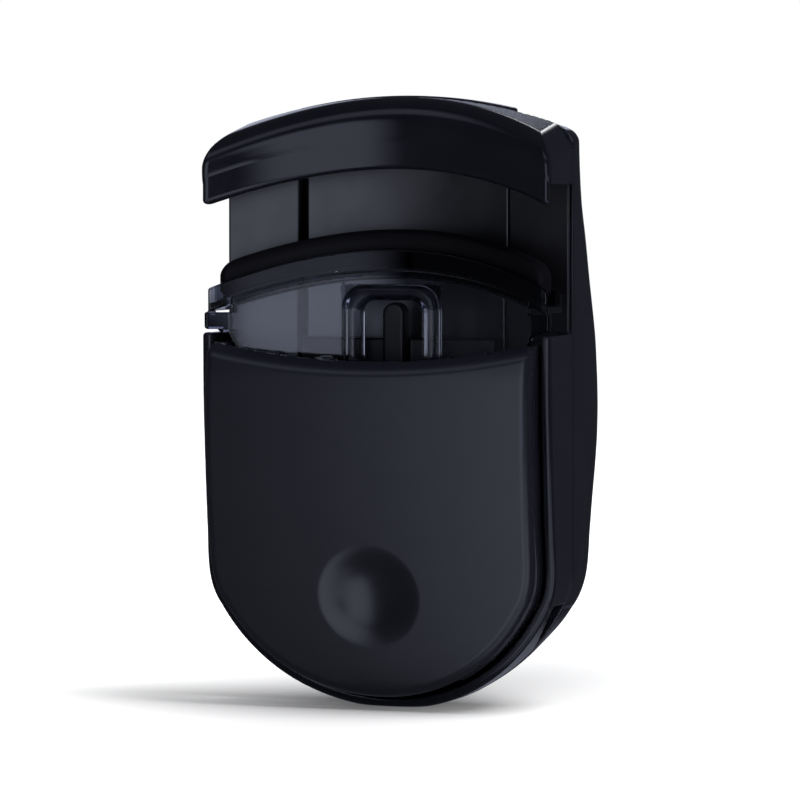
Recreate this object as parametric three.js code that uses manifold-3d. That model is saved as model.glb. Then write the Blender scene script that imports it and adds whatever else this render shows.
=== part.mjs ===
// Compact eyelash curler with a press lever.
// Millimetres, +Z up, +X to the user's right when the lever faces the user (-Y).
// The origin is the middle of the bounding box's underside.
import * as THREE from 'three';
import * as BufferGeometryUtils from 'three/addons/utils/BufferGeometryUtils.js';
import Module from 'manifold-3d';

const wasm = await Module();
wasm.setup();

// ---------------------------------------------------------------- dimensions
// Y is counted back from just behind the lever face and shifted at the end.
const PROUD = 1.54;            // lever face in front of Y = 0
const BACK = 19.3;             // the fullest point of the back
const SHIFT_Y = (PROUD - BACK) / 2;
const HEIGHT = 61.2;           // rounded underside to the top of the hood
const W = 18.38;               // half width of the body
const R_BOTTOM = 19.6;         // radius of the rounded lower end
const ZC_BOTTOM = 19.4;        // its centre height: leaves a small flat at z = 0
const CORNER_BLEND = 0.6;      // softness of the change from side to arc
const WALL = 1.05;             // moulded wall
const SEAM_F = 9.0;            // rear edge of the front frame
const SEAM_B = 9.3;            // front edge of the back cover
const GAP = 0.3;               // assembly gap between neighbouring solids

const LEDGE_Z = 37.5;          // sill of the side windows, lower stop of the carrier
const WINDOW_TOP = 53.9;       // underside of the hood at the sides

const PIVOT_Y = 5.2;           // lever hinge
const PIVOT_Z = 32;
const PRESS = 10 * Math.PI / 180;   // lever travel
const LIFT = 5.7;              // carrier travel
const PIN_R = 0.8;
const PIN_HOLE_R = 0.88;

const CHANNEL_X = 11.2;        // half width of the guide channel in the rear wall
const NOSE_Y = 6.8;            // cam nose on the lever, at rest
const NOSE_Z = 13;
const NOSE_R = 1.1;
const CAM_GAP = 0.12;
const CAM_X0 = 2.4, CAM_X1 = 4.8;

const ROD_X = 8, ROD_Y = 13.2, ROD_R = 0.7, ROD_HOLE_R = 0.85;
const SHELF_Z0 = 34, SHELF_Z1 = 35.6;
const FOOT_Z0 = 17.5, FOOT_Z1 = 19.3;
const SPRING_R = 1.55, SPRING_WIRE = 0.25, SPRING_TURNS = 5.5;
const SCREWS = [[-12.6, 26.5], [12.6, 26.5], [-12.6, 17.8], [12.6, 17.8]];

// ------------------------------------------------------------------- curves
function table(rows) {                       // smooth curve through [z, value] rows
  const n = rows.length, m = new Array(n).fill(0), d = [];
  for (let i = 0; i < n - 1; i++) d.push((rows[i + 1][1] - rows[i][1]) / (rows[i + 1][0] - rows[i][0]));
  m[0] = d[0]; m[n - 1] = d[n - 2];
  for (let i = 1; i < n - 1; i++) m[i] = d[i - 1] * d[i] <= 0 ? 0 : 2 * d[i - 1] * d[i] / (d[i - 1] + d[i]);
  return z => {
    if (z <= rows[0][0]) return rows[0][1];
    if (z >= rows[n - 1][0]) return rows[n - 1][1];
    let i = 0; while (z > rows[i + 1][0]) i++;
    const h = rows[i + 1][0] - rows[i][0], t = (z - rows[i][0]) / h, t2 = t * t, t3 = t2 * t;
    return (2 * t3 - 3 * t2 + 1) * rows[i][1] + (t3 - 2 * t2 + t) * h * m[i]
      + (-2 * t3 + 3 * t2) * rows[i + 1][1] + (t3 - t2) * h * m[i + 1];
  };
}
// front edge of the frame's walls
const rimY = table([[0, 7.2], [0.35, 6.9], [1.2, 6.4], [3, 5.6], [6, 4.8], [10, 4.1], [14.5, 3.5], [20, 2.9], [26, 2.4], [32, 2.07], [40, 2.0]]);
// back of the cover on the centre line
const backY = table([[0, 11.3], [0.6, 12.1], [2.5, 13.0], [4.4, 13.7], [5.9, 14.2], [8.2, 14.8], [11.5, 15.4], [13.5, 15.95], [16.6, 16.6], [20.6, 17.5],
  [24.6, 18.6], [27.5, 19.15], [30, BACK], [32, 19.2], [34.7, 18.85], [36.8, 18.5], [38.8, 17.9], [42.8, 16.5], [46.9, 15.2], [50.9, 13.8], [54.9, 13.2], [60, 12.9]]);
const backCorner = table([[0, 1.6], [3, 4.2], [6.5, 4.2], [8.5, 3.1], [10.5, 2.6], [14, 2.3], [20, 2.1], [60, 2.0]]);
// lever face on the centre line, and its crown across the width
const leverY = table([[0.9, 5.3], [1.8, 4.65], [3, 4.05], [6, 3.1], [10, 2.2], [14.5, 1.4], [20, 0.6], [26, 0.1], [32, 0], [35, 0.1], [38, 0.35]].map(([z, y]) => [z, y - PROUD]));
const leverCrown = x => 0.5 * (x / 17) ** 2;
const leverGap = table([[0, 0.45], [12, 0.4], [19, 0.2], [24, 0.18], [40, 0.18]]);   // between the lever's edge and the wall
const jawFront = x => 1.5 + 6 * (1 - (x / 18) ** 2);      // the jaws curve round the eye
const padFront = x => 3.2 + 4.8 * (1 - (x / 17.5) ** 2);
const carrierFront = x => 2.0 + 5.1 * (1 - (x / 18.2) ** 2);

const roofZ = x => HEIGHT - 0.0098 * x * x;                 // crowned top

function halfWidth(z, off = 0) {
  const a = W - off, r = R_BOTTOM - off;
  const b = z >= ZC_BOTTOM ? r : Math.sqrt(Math.max(0, r * r - (ZC_BOTTOM - z) ** 2));
  const h = Math.min(1, Math.max(0, 0.5 + 0.5 * (b - a) / CORNER_BLEND));
  return Math.max(0, a * h + b * (1 - h) - CORNER_BLEND * h * (1 - h));
}
function lowerZ(off, steps = 12) {            // heights that follow the rounded end
  const r = R_BOTTOM - off, out = [];
  for (let i = 0; i <= steps; i++) {
    const t = (i / steps) * 74 * Math.PI / 180;
    out.push(ZC_BOTTOM - r * Math.cos(t));
  }
  return out;
}
function outline(off, top, steps = 12) {      // closed loop of [x, z]
  const bottom = Math.max(0, ZC_BOTTOM - (R_BOTTOM - off) + 0.01);
  const zs = [bottom, ...lowerZ(off, steps).filter(z => z > bottom + 0.04), 17, 22, top];
  const right = zs.map(z => [halfWidth(z, off), z]);
  return [...right, ...right.slice().reverse().map(([x, z]) => [-x, z])];
}

// ------------------------------------------------------------------- solids
function fromGeometry(geometry) {
  let g = geometry.clone();
  g.deleteAttribute('normal'); g.deleteAttribute('uv');
  g = BufferGeometryUtils.mergeVertices(g, 1e-4);
  return new wasm.Manifold(new wasm.Mesh({
    numProp: 3, vertProperties: new Float32Array(g.attributes.position.array), triVerts: new Uint32Array(g.index.array)
  }));
}
function fromTriangles(points, tris) {
  return new wasm.Manifold(new wasm.Mesh({
    numProp: 3, vertProperties: new Float32Array(points.flat()), triVerts: new Uint32Array(tris.flat())
  }));
}
const shapeOf = pts => new THREE.Shape(pts.map(([a, b]) => new THREE.Vector2(a, b)));
function prism(pts, depth) {
  const p = THREE.ShapeUtils.area(pts.map(([a, b]) => new THREE.Vector2(a, b))) < 0 ? pts.slice().reverse() : pts;
  return new THREE.ExtrudeGeometry(shapeOf(p), { depth, bevelEnabled: false, steps: 1 });
}
// [x, z] outline pushed along Y from y0 to y1
function slabXZ(pts, y0, y1) {
  const g = prism(pts, y1 - y0);
  g.rotateX(Math.PI / 2); g.translate(0, y1, 0);
  return fromGeometry(g);
}
// [y, z] outline pushed along X from x0 to x1
function slabYZ(pts, x0, x1) {
  const g = prism(pts, x1 - x0);
  g.applyMatrix4(new THREE.Matrix4().set(0, 0, 1, x0, 1, 0, 0, 0, 0, 1, 0, 0, 0, 0, 0, 1));
  return fromGeometry(g);
}
// [x, y] outline pushed along Z from z0 to z1
function slabXY(pts, z0, z1) {
  const g = prism(pts, z1 - z0); g.translate(0, 0, z0);
  return fromGeometry(g);
}
const box = (x0, x1, y0, y1, z0, z1) => fromGeometry(new THREE.BoxGeometry(x1 - x0, y1 - y0, z1 - z0)
  .translate((x0 + x1) / 2, (y0 + y1) / 2, (z0 + z1) / 2));
function rod(axis, r, from, to, a, b, n = 24) {       // cylinder along an axis
  const g = new THREE.CylinderGeometry(r, r, to - from, n);
  const mid = (from + to) / 2;
  if (axis === 'x') { g.rotateZ(-Math.PI / 2); g.translate(mid, a, b); }
  if (axis === 'y') g.translate(a, mid, b);
  if (axis === 'z') { g.rotateX(Math.PI / 2); g.translate(a, b, mid); }
  return fromGeometry(g);
}
// Closed body through equal-length loops of [x, y, z]
function loft(loops) {
  const n = loops[0].length, pts = loops.flat(), tris = [];
  for (let i = 0; i < loops.length - 1; i++) for (let j = 0; j < n; j++) {
    const a = i * n + j, b = i * n + (j + 1) % n, c = a + n, d = b + n;
    tris.push([a, b, d], [a, d, c]);
  }
  const cap = (loop, base, flip) => {
    const nrm = new THREE.Vector3();                  // choose the plane of the cap
    for (let i = 0; i < n; i++) {
      const p = loop[i], q = loop[(i + 1) % n];
      nrm.x += (p[1] - q[1]) * (p[2] + q[2]); nrm.y += (p[2] - q[2]) * (p[0] + q[0]); nrm.z += (p[0] - q[0]) * (p[1] + q[1]);
    }
    const k = Math.abs(nrm.x) > Math.abs(nrm.z) ? (Math.abs(nrm.x) > Math.abs(nrm.y) ? 0 : 1) : (Math.abs(nrm.z) > Math.abs(nrm.y) ? 2 : 1);
    const s = [nrm.x, nrm.y, nrm.z][k] < 0;
    const flat = loop.map(p => k === 0 ? new THREE.Vector2(p[1], p[2]) : k === 1 ? new THREE.Vector2(p[2], p[0]) : new THREE.Vector2(p[0], p[1]));
    const faces = THREE.ShapeUtils.triangulateShape(s ? flat.slice().reverse() : flat, []);
    for (const f of faces) {
      const g = s ? f.map(v => n - 1 - v).reverse() : f;
      tris.push((flip ? [g[2], g[1], g[0]] : g).map(v => v + base));
    }
  };
  cap(loops[0], 0, true); cap(loops[loops.length - 1], (loops.length - 1) * n, false);
  const m = fromTriangles(pts, tris);
  return m.volume() < 0 ? fromTriangles(pts, tris.map(t => [t[2], t[1], t[0]])) : m;
}
const stations = (a, b, n) => Array.from({ length: n + 1 }, (_, i) => a + (b - a) * i / n);
const union = list => list.reduce((a, b) => a.add(b));
const mirrorX = m => m.mirror([1, 0, 0]);

const group = new THREE.Group();
group.position.set(0, SHIFT_Y, 0);
function piece(name, manifold, color, roughness, metalness, extra = {}) {
  const m = manifold.getMesh();
  const g = new THREE.BufferGeometry();
  g.setAttribute('position', new THREE.BufferAttribute(new Float32Array(m.vertProperties), 3));
  g.setIndex(new THREE.BufferAttribute(new Uint32Array(m.triVerts), 1));
  const mesh = new THREE.Mesh(g, new THREE.MeshStandardMaterial({ color, roughness, metalness, ...extra }));
  mesh.name = name;
  group.add(mesh);
  return mesh;
}

const GLOSS = 0x08080c, MATTE = 0x0d0e14, STEEL = 0xb9bcc0;

// ------------------------------------------------------------- front frame
{
  const rimProfile = [[-3, -1], ...[0, 0.35, 1.2, 3, 6, 10, 14.5, 20, 26, 32].map(z => [rimY(z), z]), [rimY(38), 39], [-3, 39]];
  let u = slabXZ(outline(0, LEDGE_Z), 1, SEAM_F).subtract(slabXZ(outline(WALL, LEDGE_Z + 5), 0, 12));
  u = u.subtract(slabYZ(rimProfile, -25, 25));
  // slanting rear wall on each side of the guide channel, narrower beside the window
  const panel = union([
    slabXY([[W - 0.2, 8.3], [W - 0.2, SEAM_F], [17.1, SEAM_F], [17.1, 10.0], [CHANNEL_X, 11.7], [CHANNEL_X, 10.6], [16.4, 9.1], [17.1, 8.6], [17.3, 8.3]], 15.5, LEDGE_Z - 0.3),
    slabXY([[17.1, 8.75], [17.1, 10.0], [CHANNEL_X, 11.7], [CHANNEL_X, 10.6], [16.4, 9.1]], LEDGE_Z - 0.5, 55.5)
  ]);
  // hinge lug
  const lug = union([
    rod('x', 1.3, 13.5, 15.1, PIVOT_Y, PIVOT_Z),
    box(13.5, 15.1, PIVOT_Y, 10.2, PIVOT_Z - 1.3, PIVOT_Z + 1.3)
  ]);
  let f = union([u, panel, mirrorX(panel), lug, mirrorX(lug)]);
  // cut-out low in each side wall, behind the rim
  const notch = slabYZ([[5.6, 10.7], [12, 10.7], [12, 4.2], [9.1, 5.6]], 10, 25);
  f = f.subtract(notch).subtract(mirrorX(notch));
  const pinHole = rod('x', PIN_HOLE_R, 12, 17.0, PIVOT_Y, PIVOT_Z);
  f = f.subtract(pinHole).subtract(mirrorX(pinHole));
  for (const [x, z] of SCREWS) f = f.subtract(rod('y', 0.8, 8, 14, x, z, 12));
  piece('front_frame', f, GLOSS, 0.12, 0);
}

// ---------------------------------------------------------- upper jaw bar
const faceLow = x => 56.5 - 0.0118 * x * x;
{
  const jb = loft(stations(-W, W, 16).map(x => {
    const f0 = Math.min(jawFront(x), 9) + 0.12, low = 53.8 - 0.0113 * x * x, high = faceLow(x) - 0.2;
    return [[f0, low + 0.35], [f0, high], [f0 + 1.5, high], [f0 + 1.5, low + 0.5], [f0 + 1.1, low], [f0 + 0.4, low]].map(([y, z]) => [x * 0.995, y, z]);
  }));
  piece('upper_jaw_bar', jb, GLOSS, 0.15, 0);
}

// -------------------------------------------------------------- back cover
{
  const section = (z, off, front) => {
    const hw = Math.max(0.4, halfWidth(z, off)), yb = backY(z) - off, rc = Math.min(backCorner(z), hw - 0.1, yb - front - 0.2);
    const pts = [[hw, front]];
    for (let i = 0; i <= 4; i++) {
      const t = i / 4 * Math.PI / 2;
      pts.push([hw - rc + rc * Math.cos(t), yb - rc + rc * Math.sin(t)]);
    }
    for (let i = 4; i >= 0; i--) {
      const t = i / 4 * Math.PI / 2;
      pts.push([-(hw - rc + rc * Math.cos(t)), yb - rc + rc * Math.sin(t)]);
    }
    pts.push([-hw, front]);
    return pts.map(([x, y]) => [x, y, z]);
  };
  const zsOut = [0, 0.4, 1.2, 2.6, 4.6, 6.8, 9.4, 12.5, 16.5, 20.6, 25, 30, 34.7, 38.8, 42.8, 46.9, 50.9, 54.9, 62];
  const zsIn = [1.1, 2.6, 4.6, 6.8, 9.4, 12.5, 16.5, 20.6, 25, 30, 34.7, 38.8, 42.8, 46.9, 50.9, 54.9, 59.8];
  const outer = loft(zsOut.map(z => section(z, 0, SEAM_B)));
  const inner = loft(zsIn.map(z => section(z, 1.0, SEAM_B - 1)));
  // the top follows the hood's crown
  // the top continues the hood's crown, with a slightly raised middle
  const topCut = slabXZ([[-30, 70], ...stations(-20, -11.5, 6).map(x => [x, roofZ(x) - 0.55]), ...stations(-11.3, 11.3, 10).map(x => [x, roofZ(x)]),
    ...stations(11.5, 20, 6).map(x => [x, roofZ(x) - 0.55]), [30, 70]], 5, 30);
  const innerCut = slabXZ([[-30, 70], ...stations(-20, 20, 14).map(x => [x, roofZ(x) - 1.75]), [30, 70]], 5, 30);
  // rear top edge eased
  const easing = slabYZ([[11.4, 63], [11.4, 61.4], [12.2, 60.9], [12.8, 59.9], [13.0, 58.4], [20, 58.4], [20, 63]], -25, 25);
  let c = outer.subtract(topCut).subtract(easing).subtract(inner.subtract(innerCut));
  // spring shelf and lower sockets for the guide rods
  const body = outer.subtract(topCut);
  const shelf = box(-10.4, 10.4, 11.3, 20, SHELF_Z0, SHELF_Z1).intersect(body);
  const socket = union([box(ROD_X - 1.8, ROD_X + 1.8, 11.5, 20, 13.4, 15.2)]).intersect(body);
  const bosses = SCREWS.map(([x, z]) => rod('y', 1.5, 11.95, 20, x, z, 16).intersect(body));
  // hood over the jaws: curved front, roof and side arms
  const xs = stations(-W, W, 16), HOOD_REAR = SEAM_B + 0.3;
  const edgeZ = x => 60.0 - 0.0125 * x * x;
  const hood = loft(xs.map(x => {
    const f = jawFront(x), t = Math.min(1.7, SEAM_F - f - 0.1), m = Math.min(2.0, (SEAM_F - f) * 0.6), low = faceLow(x);
    return [[f, low], [f, edgeZ(x) - 0.6], [f + 0.4, edgeZ(x)], [f + m, roofZ(x) - 0.25], [HOOD_REAR, roofZ(x) - 0.02], [HOOD_REAR, roofZ(x) - 1.3], [f + t, roofZ(x) - 1.7], [f + t, low]].map(([y, z]) => [x, y, z]);
  }));
  const arm = slabYZ([[jawFront(W) + 0.2, 53.0], [jawFront(W) + 1.6, 53.0], [jawFront(W) + 1.9, WINDOW_TOP], [SEAM_B - 0.9, WINDOW_TOP], [SEAM_B - 0.25, WINDOW_TOP - 0.35], [SEAM_B, WINDOW_TOP - 1.0], [HOOD_REAR, WINDOW_TOP - 1.0], [HOOD_REAR, 57.6], [jawFront(W) + 0.4, 55.6]], W - WALL, W);
  // curved inner wall behind the jaws, between the slanting walls
  const wallY = x => 13.3 - 0.0117 * x * x;
  const inX = stations(-10.8, 10.8, 8);
  const innerWall = slabXY([...inX.map(x => [x, wallY(x)]), ...inX.slice().reverse().map(x => [x, wallY(x) + 1.0])], 37.3, 58.6);
  c = union([c, shelf, socket, mirrorX(socket), ...bosses, hood, arm, mirrorX(arm), innerWall.intersect(body)]);
  for (const x of [-ROD_X, ROD_X]) {
    c = c.subtract(rod('z', ROD_HOLE_R, SHELF_Z0 - 1, SHELF_Z1 + 1, x, ROD_Y, 16));
    c = c.subtract(rod('z', ROD_HOLE_R, 13.9, 16, x, ROD_Y, 16));
  }
  for (const [x, z] of SCREWS) c = c.subtract(rod('y', 0.8, 11, 14.6, x, z, 12));
  piece('back_cover', c, GLOSS, 0.12, 0);
}

// ------------------------------------------------------------------- lever
{
  const off = WALL + 0.25;
  const topCut = dz => slabXZ([[-30, 60], ...stations(-20, 20, 16).map(x => [x, 35.05 + 0.0064 * x * x - dz]), [30, 60]], -8, 20);
  const zs = [...lowerZ(off, 9).slice(1), 16, 20, 24, 28, 32, 35, 38];
  const across = stations(-1, 1, 8);
  const plate = (front, back) => loft(zs.map(z => {
    const hw = Math.max(0.6, halfWidth(z, WALL + leverGap(z)));
    return [...across.map(t => [t * hw, leverY(z) + leverCrown(t * hw) + front, z]),
      ...across.slice().reverse().map(t => [t * hw, leverY(z) + leverCrown(t * hw) + back, z])];
  }));
  // the thumb dimple is a dished boss, square to the sloping face
  const dimpleR = 8.5, dimpleDepth = 1.5, dz = 10.7, dy = leverY(10.7), tilt = 0.21, far = dimpleR - dimpleDepth;
  const face0 = plate(0, 1.3);
  const dish = plate(0.5, 2.6).intersect(rod('y', 5.9, -8, 15, 0, dz, 24));
  const dishRoom = plate(0.3, 2.9).intersect(rod('y', 6.25, -8, 15, 0, dz, 24));
  const ball = fromGeometry(new THREE.SphereGeometry(dimpleR, 28, 26).rotateX(Math.PI / 2)
    .translate(0, dy - far * Math.cos(tilt), dz - far * Math.sin(tilt)));
  const face = face0.add(dish).subtract(ball).subtract(topCut(0));
  piece('lever_face', face, MATTE, 0.5, 0);

  const skirtY = table([[0.9, 7.0], [3, 6.4], [6, 6.0], [10, 5.8], [15, 5.6], [20, 5.6], [26, 6.6], [30, 7.0], [38, 7.0]]);
  const tray = (inset, front, back) => loft(zs.map(z => {
    const hw = Math.max(0.5, halfWidth(z, off + inset));
    return [...across.map(t => [t * hw, leverY(z) + leverCrown(t * hw) + front, z]),
      ...across.slice().reverse().map(t => [t * hw, Math.max(back(z), leverY(z) + leverCrown(t * hw) + front + 0.4), z])];
  }));
  let tr = tray(0, 1.6, skirtY).subtract(tray(1.0, 2.6, () => 30)).subtract(topCut(0.35));
  tr = tr.subtract(box(-30, 30, -8, 30, -5, 3.2));          // stops short of the lower end
  tr = tr.subtract(rod('y', 6.3, -6, 20, 0, dz, 24));
  // ears round the hinge pins
  const ear = rod('x', 1.9, W - off - 1.0, W - off - 0.02, PIVOT_Y, PIVOT_Z);
  // cam ribs hang from the plate above the dimple and end in rounded noses
  const rib = union([
    slabYZ([[1.3, 19.6], [4.4, 19.6], [7.0, 14.0], [7.0, 12.0], [5.75, 12.6], [5.65, 16.9], [1.3, 17.3]], CAM_X0 + 0.3, CAM_X1 - 0.3),
    rod('x', NOSE_R, CAM_X0 + 0.3, CAM_X1 - 0.3, NOSE_Y, NOSE_Z, 24)
  ]);
  tr = union([tr, ear, mirrorX(ear)]);
  tr = tr.subtract(dishRoom);
  tr = union([tr, rib, mirrorX(rib)]);
  const hole = rod('x', PIN_HOLE_R, 13, 18.2, PIVOT_Y, PIVOT_Z);
  tr = tr.subtract(hole).subtract(mirrorX(hole));
  piece('lever_frame', tr, GLOSS, 0.2, 0);
}

// ------------------------------------------------------------- hinge pins
{
  const pin = rod('x', PIN_R, 13.3, 17.0, PIVOT_Y, PIVOT_Z);
  piece('hinge_pin_right', pin, STEEL, 0.3, 1);
  piece('hinge_pin_left', mirrorX(pin), STEEL, 0.3, 1);
}

// ------------------------------------------------- lift slider with cam ramps
{
  const c = Math.cos(PRESS), s = Math.sin(PRESS), ry = NOSE_Y - PIVOT_Y, rz = NOSE_Z - PIVOT_Z;
  const endY = PIVOT_Y + ry * c - rz * s, endZ = PIVOT_Z + ry * s + rz * c - LIFT;
  const len = Math.hypot(endY - NOSE_Y, endZ - NOSE_Z), ty = (endY - NOSE_Y) / len, tz = (endZ - NOSE_Z) / len;
  const ny = -tz, nz = ty, o = NOSE_R + CAM_GAP;
  const a = [NOSE_Y + ny * o - ty * 0.8, NOSE_Z + nz * o - tz * 0.8];
  const b = [endY + ny * o + ty * 0.5, endZ + nz * o + tz * 0.5];
  const ramp = slabYZ([a, b, [12.4, b[1]], [12.4, FOOT_Z1], [9.2, FOOT_Z1 + 1.5], [a[0], a[1] + 1.2]], CAM_X0, CAM_X1);
  const tongue = box(-10.6, 10.6, 9.2, 10.5, FOOT_Z0, 36.9);
  const foot = box(-10.2, 10.2, 9.2, 15.2, FOOT_Z0, FOOT_Z1);
  const stem = slabXZ([[-1.15, 33], [-1.15, 39.3], [-0.85, 40.1], [-0.35, 40.5], [0.35, 40.5], [0.85, 40.1], [1.15, 39.3], [1.15, 33]], 7.5, 9.4);
  let m = union([tongue, foot, ramp, mirrorX(ramp), stem]);
  for (const x of [-ROD_X, ROD_X]) m = m.subtract(rod('z', ROD_HOLE_R, 16, 21, x, ROD_Y, 16));
  piece('lift_slider', m, GLOSS, 0.35, 0);
}

// ------------------------------------------------------- clear pad carrier
const troughLow = x => 43.1 - 0.0112 * x * x;
{
  const web = (half, low) => loft(stations(-half, half, 18).map(x => {
    const f = carrierFront(x), hi = troughLow(x) + 0.4;
    return [[f, low(x)], [f + 1.2, low(x)], [f + 1.2, hi], [f, hi]].map(([y, z]) => [x, y, z]);
  }));
  // the ends rest on the sills; between the side walls the web reaches down to the lever's edge
  const plate = web(18.2, () => LEDGE_Z + 0.3).add(web(16.9, x => 35.75 + 0.0064 * x * x));
  const xs2 = stations(-17.9, 17.9, 18);
  const trough = loft(xs2.map(x => {
    const f = carrierFront(x) + 0.1, p = padFront(x), lo = troughLow(x), lip = 45.8 - 0.0122 * x * x;
    const back = p + 3.2 + GAP;
    return [[f, lo], [back + 0.8, lo], [back + 0.8, lip - 0.4], [back, lip - 0.4], [back, lo + 0.8], [p - GAP, lo + 0.8], [p - GAP, lip], [f, lip]].map(([y, z]) => [x, y, z]);
  }));
  // arch that clears the slider's stem
  const arch = slabXZ([[-3.6, 30], [-3.6, 39.6], [-3.1, 40.4], [-2.3, 40.8], [2.3, 40.8], [3.1, 40.4], [3.6, 39.6], [3.6, 30]], 0, 20);
  const jamb = slabXZ([[3.6, 35.9], [3.6, 39.6], [3.1, 40.4], [2.3, 40.8], [2.3, 42.2], [3.9, 41.8], [4.7, 41.0], [5.1, 40.0], [5.1, 35.9]], 6.3, 9.0);
  // two clips reach down in front of the slider's tongue
  const clip = box(6.2, 9.4, 7.3, 8.6, 33.0, 36.6);
  const clipTop = box(6.2, 9.4, 6.3, 8.6, 36.2, 36.8);
  let m = union([plate.subtract(arch), trough, jamb, mirrorX(jamb), clip, mirrorX(clip), clipTop, mirrorX(clipTop)]);
  piece('pad_carrier', m, 0xc9d2dc, 0.05, 0, { transparent: true, opacity: 0.35 });
}

// ----------------------------------------------------------------- lash pad
{
  const xs = stations(-17.4, 17.4, 16);
  const pad = loft(xs.map(x => {
    const p = padFront(x), lo = troughLow(x) + 0.8 + GAP, hi = 47.8 - 0.0117 * x * x;
    return [[p, lo], [p + 3.2, lo], [p + 3.2, hi - 0.9], [p + 2.7, hi - 0.25], [p + 1.9, hi], [p + 1.3, hi], [p + 0.5, hi - 0.25], [p, hi - 0.9]].map(([y, z]) => [x, y, z]);
  }));
  piece('lash_pad', pad, 0x0b0b0d, 0.6, 0);
}

// ------------------------------------- guide rods, clips and return springs
class Helix extends THREE.Curve {
  getPoint(t, target = new THREE.Vector3()) {
    const z0 = FOOT_Z1 + GAP + SPRING_WIRE, z1 = SHELF_Z0 - GAP - SPRING_WIRE, a = t * SPRING_TURNS * Math.PI * 2;
    return target.set(SPRING_R * Math.cos(a), SPRING_R * Math.sin(a), z0 + (z1 - z0) * t);
  }
}
for (const [side, x] of [['left', -ROD_X], ['right', ROD_X]]) {
  piece(`guide_rod_${side}`, rod('z', ROD_R, 14.2, 36.9, x, ROD_Y, 16), STEEL, 0.25, 1);
  const ring = rod('z', 1.6, SHELF_Z1 + 0.15, SHELF_Z1 + 0.75, x, ROD_Y, 16).subtract(rod('z', ROD_HOLE_R, 30, 40, x, ROD_Y, 16));
  piece(`rod_clip_${side}`, ring.subtract(box(x - 0.45, x + 0.45, ROD_Y - 3, ROD_Y, 30, 40)), STEEL, 0.35, 1);
  const wire = shapeOf(Array.from({ length: 6 }, (_, i) => [SPRING_WIRE * Math.cos(i * Math.PI / 3), SPRING_WIRE * Math.sin(i * Math.PI / 3)]));
  const g = new THREE.ExtrudeGeometry(wire, { steps: 55, bevelEnabled: false, extrudePath: new Helix() });
  g.translate(x, ROD_Y, 0);
  piece(`return_spring_${side}`, fromGeometry(g), STEEL, 0.3, 1);
}

// ------------------------------------------------------------- cover screws
SCREWS.forEach(([x, z], i) => {
  const seat = 10.6 - (Math.abs(x) - CHANNEL_X) * 1.5 / 5.2 - 0.62;
  const head = rod('y', 1.2, seat - 0.8, seat, x, z, 16).subtract(box(x - 0.75, x + 0.75, seat - 1, seat - 0.45, z - 0.16, z + 0.16))
    .subtract(box(x - 0.16, x + 0.16, seat - 1, seat - 0.45, z - 0.75, z + 0.75));
  piece(`cover_screw_${i + 1}`, head.add(rod('y', 0.5, seat - 0.3, 14.2, x, z, 12)), STEEL, 0.35, 1);
});

export default group;
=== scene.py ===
# Compact press-lever eyelash curler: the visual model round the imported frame.
# Shapes are written as distance fields in millimetres, meshed, then placed in metres.
import math
import bpy
import bmesh
import numpy as np
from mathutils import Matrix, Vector


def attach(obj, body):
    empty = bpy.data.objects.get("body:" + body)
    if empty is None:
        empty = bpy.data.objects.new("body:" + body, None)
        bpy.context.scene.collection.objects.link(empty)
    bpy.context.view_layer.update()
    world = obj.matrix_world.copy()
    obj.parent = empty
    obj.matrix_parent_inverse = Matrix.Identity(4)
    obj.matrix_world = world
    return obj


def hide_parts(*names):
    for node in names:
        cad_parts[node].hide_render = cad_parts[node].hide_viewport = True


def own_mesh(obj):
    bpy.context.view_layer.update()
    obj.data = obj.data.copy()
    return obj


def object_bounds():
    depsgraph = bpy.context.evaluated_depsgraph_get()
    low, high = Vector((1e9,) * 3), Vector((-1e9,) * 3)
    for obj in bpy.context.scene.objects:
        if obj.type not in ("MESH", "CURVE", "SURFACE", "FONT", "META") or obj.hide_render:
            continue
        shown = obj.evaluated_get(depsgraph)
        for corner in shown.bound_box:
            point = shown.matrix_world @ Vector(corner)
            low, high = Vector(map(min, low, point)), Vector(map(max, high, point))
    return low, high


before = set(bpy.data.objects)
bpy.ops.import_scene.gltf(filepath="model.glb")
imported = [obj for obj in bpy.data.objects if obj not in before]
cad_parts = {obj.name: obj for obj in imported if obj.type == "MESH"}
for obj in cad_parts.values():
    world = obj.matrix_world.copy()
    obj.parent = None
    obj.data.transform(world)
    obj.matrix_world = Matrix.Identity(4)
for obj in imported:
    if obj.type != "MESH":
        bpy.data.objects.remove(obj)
CAD_BOX = [list(map(float, c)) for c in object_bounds()]
PROUD = 1.54                              # lever face in front of design Y = 0
SHIFT_Y = CAD_BOX[0][1] * 1000.0 + PROUD
MM = 0.001
f32 = np.float32

# ------------------------------------------------------------------ dimensions
W, R_BOTTOM, ZC_BOTTOM, WALL = 18.38, 19.6, 19.4, 1.05
HEIGHT = 61.2
LEDGE_Z, WINDOW_TOP = 37.5, 53.9
SEAM_F, SEAM_B = 9.06, 9.24
CHANNEL_X = 11.2
PIVOT_Y, PIVOT_Z = 5.2, 32.0
ROD_X, ROD_Y = 8.0, 13.2


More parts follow.
